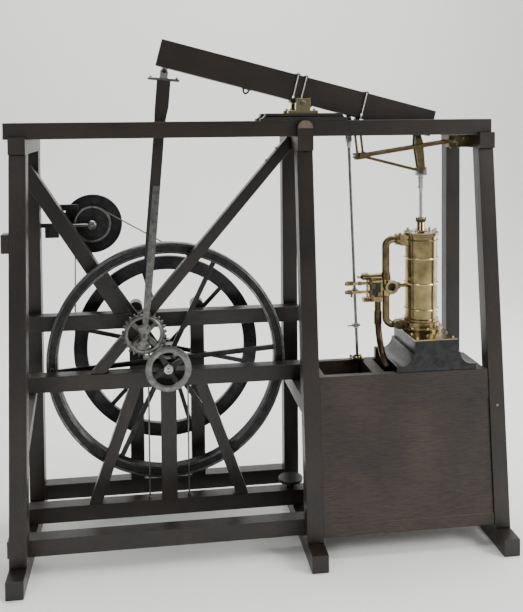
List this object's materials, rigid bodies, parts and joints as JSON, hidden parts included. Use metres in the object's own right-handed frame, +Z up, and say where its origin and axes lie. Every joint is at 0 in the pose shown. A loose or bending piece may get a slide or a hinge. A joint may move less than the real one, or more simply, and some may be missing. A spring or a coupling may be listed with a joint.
{
  "type": "model beam engine",
  "caption": "Tabletop wooden-framed beam engine model with sun and planet gear, flywheel, belt drum, brass cylinder and water tank",
  "frame": {"origin": "on the floor under the beam's trunnion, on the underside of the middle sill", "axes": "+Z up, +X towards the cylinder end of the beam, -Y towards the front with the raked posts"},
  "size_m": [0.8705, 0.328, 0.8973],
  "materials": {
    "timber": "stained and waxed",
    "tank_wood": "stained",
    "brass": "polished",
    "dark_iron": "blackened",
    "bright_steel": "bright",
    "belt_leather": "round cord"
  },
  "bodies": {
    "frame": {"sills": "timber", "front_posts": "timber", "rear_posts": "timber", "cross_rails": "timber", "top_rails": "timber", "front_rails": "timber", "rear_rails": "timber", "trestle_legs": "timber", "tie_rods": "bright_steel", "braces": "timber", "beam_bearers": "timber", "trunnion_bearings": "brass", "shaft_bearings": "dark_iron", "tank_front": "tank_wood", "tank_walls": "tank_wood", "tank_planks": "tank_wood", "plinth": "dark_iron", "cylinder": "brass", "cylinder_cover": "brass", "upper_pipe": "brass", "valve_chest": "brass", "valve_levers": "brass", "lower_pipe": "brass", "exhaust_pipe": "brass", "rod_guide": "brass", "bar_bracket": "brass", "drum_arms": "dark_iron", "drive_belt": "belt_leather", "round_plate": "dark_iron"},
    "beam_body": {"beam": "timber", "beam_fittings": "dark_iron"},
    "rod_body": {"connecting_rod": "timber", "rod_strap": "bright_steel"},
    "main_link_body": {"main_link": "brass"},
    "back_link_body": {"back_link": "brass"},
    "parallel_bars_body": {"parallel_bars": "brass"},
    "radius_bars_body": {"radius_bars": "brass"},
    "plug_rod_body": {"plug_rod": "bright_steel"},
    "piston_body": {"piston_rod": "bright_steel"},
    "shaft_body": {"main_shaft": "bright_steel", "sun_wheel": "dark_iron", "flywheel": "dark_iron", "belt_wheel": "dark_iron"},
    "link_arm_body": {"link_arm": "dark_iron"},
    "planet_body": {"planet_wheel": "dark_iron"},
    "drum_body": {"belt_drum": "dark_iron"}
  },
  "joints": [
    {"name": "beam_rock", "type": "hinge", "parent": "frame", "child": "beam_body", "pos_m": [0, 0, 0.7827], "axis": [0, 1, 0], "range_deg": [-32.5, 2.9]},
    {"name": "rod_swing", "type": "hinge", "parent": "beam_body", "child": "rod_body", "pos_m": [-0.24428, 0, 0.84065], "axis": [0, 1, 0], "range_deg": [-2.95, 32.55]},
    {"name": "main_link_swing", "type": "hinge", "parent": "beam_body", "child": "main_link_body", "pos_m": [0.22022, 0, 0.71965], "axis": [0, 1, 0], "range_deg": [-2.95, 32.55]},
    {"name": "back_link_swing", "type": "hinge", "parent": "beam_body", "child": "back_link_body", "pos_m": [0.10458, 0, 0.74978], "axis": [0, 1, 0], "range_deg": [-2.95, 32.55]},
    {"name": "parallel_bar_swing", "type": "hinge", "parent": "back_link_body", "child": "parallel_bars_body", "pos_m": [0.11206, 0, 0.68622], "axis": [0, 1, 0], "range_deg": [-32.55, 2.95]},
    {"name": "radius_bar_swing", "type": "hinge", "parent": "frame", "child": "radius_bars_body", "pos_m": [0.2857, 0, 0.712], "axis": [0, 1, 0], "range_deg": [-1.84, 20.14]},
    {"name": "plug_rod_swing", "type": "hinge", "parent": "beam_body", "child": "plug_rod_body", "pos_m": [0.08861, 0, 0.75394], "axis": [0, 1, 0], "range_deg": [-3.01, 33.25]},
    {"name": "piston_slide", "type": "slide", "parent": "frame", "child": "piston_body", "axis": [0, 0, 1], "range_m": [-0.01154, 0.12829]},
    {"name": "shaft_spin", "type": "hinge", "parent": "frame", "child": "shaft_body", "pos_m": [-0.2433, 0, 0.3065], "axis": [0, 1, 0], "continuous": true},
    {"name": "arm_orbit", "type": "hinge", "parent": "frame", "child": "link_arm_body", "pos_m": [-0.2433, 0, 0.3065], "axis": [0, 1, 0], "continuous": true},
    {"name": "planet_spin", "type": "hinge", "parent": "link_arm_body", "child": "planet_body", "pos_m": [-0.28569, 0, 0.37054], "axis": [0, 1, 0], "continuous": true},
    {"name": "drum_spin", "type": "hinge", "parent": "frame", "child": "drum_body", "pos_m": [-0.3838, 0.157, 0.5535], "axis": [0, 1, 0], "continuous": true}
  ],
  "couplings": [
    {"joint": "rod_swing", "follows": "beam_rock", "ratio": -1},
    {"joint": "main_link_swing", "follows": "beam_rock", "ratio": -1},
    {"joint": "back_link_swing", "follows": "beam_rock", "ratio": -1},
    {"joint": "parallel_bar_swing", "follows": "beam_rock", "ratio": 1},
    {"joint": "radius_bar_swing", "follows": "beam_rock", "ratio": -0.618},
    {"joint": "plug_rod_swing", "follows": "beam_rock", "ratio": -1.0215},
    {"joint": "piston_slide", "follows": "beam_rock", "m_per_rad": -0.226},
    {"joint": "arm_orbit", "follows": "shaft_spin", "ratio": 0.5},
    {"joint": "planet_spin", "follows": "shaft_spin", "ratio": -0.5},
    {"joint": "drum_spin", "follows": "shaft_spin", "ratio": 5.3636}
  ]
}
